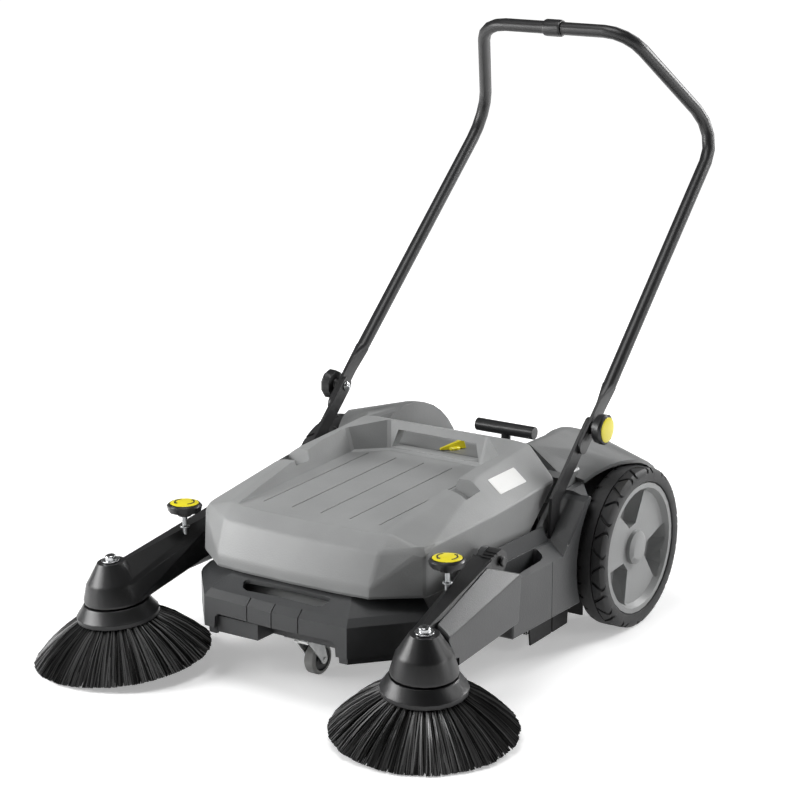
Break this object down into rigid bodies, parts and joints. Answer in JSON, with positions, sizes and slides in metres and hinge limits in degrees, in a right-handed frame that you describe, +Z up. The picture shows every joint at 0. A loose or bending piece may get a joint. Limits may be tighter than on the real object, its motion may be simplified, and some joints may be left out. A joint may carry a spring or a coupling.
{
  "type": "walk behind sweeper",
  "caption": "Hand-pushed floor sweeper with angled side brushes on lifting arms, a wheel-driven roller, a lift-out dirt container with a tray on top, and a folding tube handle.",
  "frame": {"origin": "on the floor under the middle of the bounding box", "axes": "+Z up, -Y the way it drives, +X to the right of a person who stands in front and looks along +Y"},
  "size_m": [0.9232, 1.2107, 1.0335],
  "materials": {
    "grey_plastic": "satin moulded",
    "dark_grey_plastic": "satin moulded",
    "black_plastic": "satin moulded",
    "yellow_plastic": "glossy moulded",
    "black_rubber": "matt",
    "grey_rubber": "matt",
    "black_bristle": "stiff strands",
    "black_painted_steel": "powder coated",
    "bright_steel": "bright drawn",
    "chromed_steel": "polished",
    "zinc_plated_steel": "zinc plated"
  },
  "bodies": {
    "chassis": {"chassis_frame": "dark_grey_plastic", "front_bumper": "dark_grey_plastic", "rear_housing": "grey_plastic", "rear_grip": "black_plastic", "roller_seal": "black_rubber", "rear_axle": "bright_steel", "caster_plate": "zinc_plated_steel", "side_skirt_left": "black_rubber", "side_skirt_right": "black_rubber", "side_pod_left": "dark_grey_plastic", "side_pod_right": "dark_grey_plastic", "hinge_pin_left": "chromed_steel", "hinge_pin_right": "chromed_steel", "roller_bearing_left": "bright_steel", "roller_bearing_right": "bright_steel", "handle_bracket_left": "black_painted_steel", "handle_bracket_right": "black_painted_steel"},
    "container": {"waste_container": "grey_plastic"},
    "roller_lever": {"roller_lever": "yellow_plastic"},
    "roller": {"roller_core": "black_plastic", "roller_bristles": "black_bristle", "roller_gear": "black_plastic"},
    "handle": {"handle_tube": "black_painted_steel", "handle_clip": "black_plastic", "pivot_bolt_left": "chromed_steel", "pivot_bolt_right": "chromed_steel"},
    "caster": {"caster_fork": "zinc_plated_steel"},
    "caster_wheel": {"caster_tyre": "grey_rubber", "caster_hub": "black_plastic"},
    "wheel_left": {"tyre_left": "black_rubber", "rim_left": "grey_plastic"},
    "arm_left": {"side_arm_left": "black_plastic", "arm_cover_left": "dark_grey_plastic", "brush_spindle_left": "chromed_steel"},
    "brush_left": {"brush_hub_left": "black_plastic", "brush_bristles_left": "black_bristle"},
    "adjuster_left": {"adjuster_screw_left": "chromed_steel", "adjuster_knob_left": "black_plastic", "adjuster_cap_left": "yellow_plastic"},
    "clamp_left": {"clamp_knob_left": "black_plastic", "clamp_cap_left": "yellow_plastic"},
    "wheel_right": {"tyre_right": "black_rubber", "rim_right": "grey_plastic"},
    "arm_right": {"side_arm_right": "black_plastic", "arm_cover_right": "dark_grey_plastic", "brush_spindle_right": "chromed_steel"},
    "brush_right": {"brush_hub_right": "black_plastic", "brush_bristles_right": "black_bristle"},
    "adjuster_right": {"adjuster_screw_right": "chromed_steel", "adjuster_knob_right": "black_plastic", "adjuster_cap_right": "yellow_plastic"},
    "clamp_right": {"clamp_knob_right": "black_plastic", "clamp_cap_right": "yellow_plastic"}
  },
  "joints": [
    {"name": "wheel_left_spin", "type": "hinge", "parent": "chassis", "child": "wheel_left", "pos_m": [-0.311, 0.2, 0.144], "axis": [1, 0, 0], "continuous": true},
    {"name": "wheel_right_spin", "type": "hinge", "parent": "chassis", "child": "wheel_right", "pos_m": [0.311, 0.2, 0.144], "axis": [1, 0, 0], "continuous": true},
    {"name": "roller_spin", "type": "hinge", "parent": "chassis", "child": "roller", "pos_m": [0, 0.05433, 0.1079], "axis": [1, 0, 0], "continuous": true},
    {"name": "arm_left_lift", "type": "hinge", "parent": "chassis", "child": "arm_left", "pos_m": [-0.275, -0.19, 0.218], "axis": [-1, 0, 0], "range_deg": [0, 20]},
    {"name": "brush_left_spin", "type": "hinge", "parent": "arm_left", "child": "brush_left", "pos_m": [-0.306, -0.45, 0], "axis": [-0.0591, -0.087, 0.9945], "continuous": true},
    {"name": "adjuster_left_turn", "type": "hinge", "parent": "arm_left", "child": "adjuster_left", "pos_m": [-0.2685, -0.326, 0.236], "axis": [0, 0, 1], "range_deg": [-720, 720]},
    {"name": "arm_right_lift", "type": "hinge", "parent": "chassis", "child": "arm_right", "pos_m": [0.275, -0.19, 0.218], "axis": [-1, 0, 0], "range_deg": [0, 20]},
    {"name": "brush_right_spin", "type": "hinge", "parent": "arm_right", "child": "brush_right", "pos_m": [0.306, -0.45, 0], "axis": [0.0591, -0.087, 0.9945], "continuous": true},
    {"name": "adjuster_right_turn", "type": "hinge", "parent": "arm_right", "child": "adjuster_right", "pos_m": [0.2685, -0.326, 0.236], "axis": [0, 0, 1], "range_deg": [-720, 720]},
    {"name": "handle_fold", "type": "hinge", "parent": "chassis", "child": "handle", "pos_m": [0, 0.141, 0.368], "axis": [1, 0, 0], "range_deg": [-15, 105]},
    {"name": "clamp_left_turn", "type": "hinge", "parent": "handle", "child": "clamp_left", "pos_m": [-0.29, 0.141, 0.368], "axis": [-1, 0, 0], "range_deg": [0, 720]},
    {"name": "clamp_right_turn", "type": "hinge", "parent": "handle", "child": "clamp_right", "pos_m": [0.29, 0.141, 0.368], "axis": [1, 0, 0], "range_deg": [0, 720]},
    {"name": "caster_swivel", "type": "hinge", "parent": "chassis", "child": "caster", "pos_m": [0, -0.341, 0.06], "axis": [0, 0, 1], "continuous": true},
    {"name": "caster_roll", "type": "hinge", "parent": "caster", "child": "caster_wheel", "pos_m": [0, -0.311, 0.0275], "axis": [1, 0, 0], "continuous": true},
    {"name": "container_lift", "type": "slide", "parent": "chassis", "child": "container", "axis": [0, 0, 1], "range_m": [0, 0.35]},
    {"name": "roller_lever_turn", "type": "hinge", "parent": "chassis", "child": "roller_lever", "pos_m": [0, 0.112, 0.294], "axis": [0, 0, 1], "range_deg": [-70, 70]}
  ],
  "couplings": [
    {"joint": "roller_spin", "follows": "wheel_right_spin", "ratio": -2.75},
    {"joint": "brush_left_spin", "follows": "wheel_left_spin", "ratio": 1.3},
    {"joint": "brush_right_spin", "follows": "wheel_right_spin", "ratio": -1.3}
  ]
}
